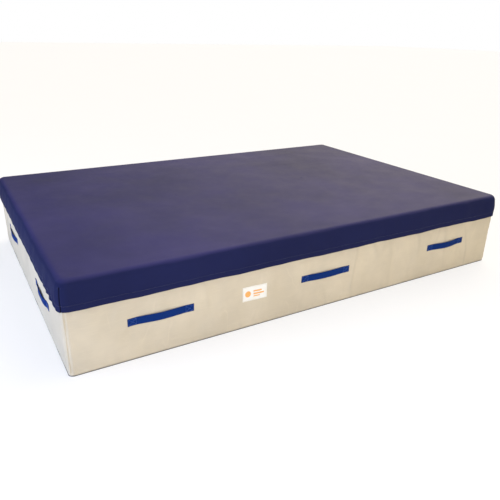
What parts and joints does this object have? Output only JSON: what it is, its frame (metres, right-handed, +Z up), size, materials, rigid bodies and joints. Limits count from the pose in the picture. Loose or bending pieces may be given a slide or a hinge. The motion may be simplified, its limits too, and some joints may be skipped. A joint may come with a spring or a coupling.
{
  "type": "gymnastics landing mat",
  "caption": "Thick rectangular foam landing mat in a zipped canvas case, with webbing carry handles and a lift-off coated-fabric top cover with a deep skirt.",
  "frame": {"origin": "centre of the underside, on the floor", "axes": "+X along the long side, to the right seen from the front; +Y from the front long side to the rear; +Z up"},
  "size_m": [3.031, 2.031, 0.5],
  "materials": {
    "side_canvas": "plain-weave cotton canvas, matt",
    "backing_canvas": "canvas patch, matt",
    "floor_sheet": "coated non-slip fabric, matt",
    "cover_vinyl": "vinyl-coated polyester fabric, satin",
    "soft_foam": "open-cell polyether foam",
    "firm_foam": "firmer open-cell foam",
    "handle_webbing": "woven polypropylene webbing",
    "handle_thread": "polyester thread",
    "hook_tape": "nylon hook tape",
    "loop_tape": "nylon loop tape",
    "label_fabric": "coated label, satin",
    "zip_tape": "woven zip tape",
    "zip_coil": "nylon coil",
    "zip_metal": "plated, satin"
  },
  "bodies": {
    "mat_block": {"block_top_panel": "side_canvas", "bottom_sheet": "floor_sheet", "foam_block_1": "soft_foam", "foam_block_2": "soft_foam", "foam_block_3": "soft_foam", "foam_top_sheet_1": "firm_foam", "foam_top_sheet_2": "firm_foam", "front_panel": "side_canvas", "handle_backing_patches": "backing_canvas", "handle_front_left_ends": "handle_webbing", "handle_front_middle_ends": "handle_webbing", "handle_front_right_ends": "handle_webbing", "handle_left_front_ends": "handle_webbing", "handle_left_rear_ends": "handle_webbing", "handle_rear_left_ends": "handle_webbing", "handle_rear_middle_ends": "handle_webbing", "handle_rear_right_ends": "handle_webbing", "handle_right_front_ends": "handle_webbing", "handle_right_rear_ends": "handle_webbing", "handle_stitching": "handle_thread", "label_patch": "label_fabric", "left_panel": "side_canvas", "loop_tape_front": "loop_tape", "loop_tape_left": "loop_tape", "loop_tape_rear": "loop_tape", "loop_tape_right": "loop_tape", "rear_panel": "side_canvas", "right_panel": "side_canvas", "zip_coil_lower": "zip_coil", "zip_coil_upper": "zip_coil", "zip_end_stops": "zip_coil", "zip_tape_lower": "zip_tape", "zip_tape_upper": "zip_tape"},
    "top_cover": {"cover_skirt_front": "cover_vinyl", "cover_skirt_left": "cover_vinyl", "cover_skirt_rear": "cover_vinyl", "cover_skirt_right": "cover_vinyl", "cover_top_panel": "cover_vinyl", "hook_tape_front": "hook_tape", "hook_tape_left": "hook_tape", "hook_tape_rear": "hook_tape", "hook_tape_right": "hook_tape"},
    "zip_slider": {"zip_slider": "zip_metal"},
    "zip_pull": {"zip_pull_tab": "zip_metal"},
    "handle_front_left": {"handle_front_left_strap": "handle_webbing"},
    "handle_front_middle": {"handle_front_middle_strap": "handle_webbing"},
    "handle_front_right": {"handle_front_right_strap": "handle_webbing"},
    "handle_left_front": {"handle_left_front_strap": "handle_webbing"},
    "handle_left_rear": {"handle_left_rear_strap": "handle_webbing"},
    "handle_rear_left": {"handle_rear_left_strap": "handle_webbing"},
    "handle_rear_middle": {"handle_rear_middle_strap": "handle_webbing"},
    "handle_rear_right": {"handle_rear_right_strap": "handle_webbing"},
    "handle_right_front": {"handle_right_front_strap": "handle_webbing"},
    "handle_right_rear": {"handle_right_rear_strap": "handle_webbing"}
  },
  "joints": [
    {"name": "cover_lift", "type": "slide", "parent": "mat_block", "child": "top_cover", "axis": [0, 0, 1], "range_m": [0, 0.25]},
    {"name": "handle_front_left_pull", "type": "slide", "parent": "mat_block", "child": "handle_front_left", "axis": [0, -1, 0], "range_m": [0, 0.035]},
    {"name": "handle_front_middle_pull", "type": "slide", "parent": "mat_block", "child": "handle_front_middle", "axis": [0, -1, 0], "range_m": [0, 0.035]},
    {"name": "handle_front_right_pull", "type": "slide", "parent": "mat_block", "child": "handle_front_right", "axis": [0, -1, 0], "range_m": [0, 0.035]},
    {"name": "handle_rear_left_pull", "type": "slide", "parent": "mat_block", "child": "handle_rear_left", "axis": [0, 1, 0], "range_m": [0, 0.035]},
    {"name": "handle_rear_middle_pull", "type": "slide", "parent": "mat_block", "child": "handle_rear_middle", "axis": [0, 1, 0], "range_m": [0, 0.035]},
    {"name": "handle_rear_right_pull", "type": "slide", "parent": "mat_block", "child": "handle_rear_right", "axis": [0, 1, 0], "range_m": [0, 0.035]},
    {"name": "handle_left_front_pull", "type": "slide", "parent": "mat_block", "child": "handle_left_front", "axis": [-1, 0, 0], "range_m": [0, 0.035]},
    {"name": "handle_left_rear_pull", "type": "slide", "parent": "mat_block", "child": "handle_left_rear", "axis": [-1, 0, 0], "range_m": [0, 0.035]},
    {"name": "handle_right_front_pull", "type": "slide", "parent": "mat_block", "child": "handle_right_front", "axis": [1, 0, 0], "range_m": [0, 0.035]},
    {"name": "handle_right_rear_pull", "type": "slide", "parent": "mat_block", "child": "handle_right_rear", "axis": [1, 0, 0], "range_m": [0, 0.035]},
    {"name": "zip_run", "type": "slide", "parent": "mat_block", "child": "zip_slider", "axis": [1, 0, 0], "range_m": [0, 2.8868]},
    {"name": "zip_pull_swing", "type": "hinge", "parent": "zip_slider", "child": "zip_pull", "pos_m": [-1.4434, 1.0043, 0.095], "axis": [0, 0, 1], "range_deg": [0, 180]}
  ]
}
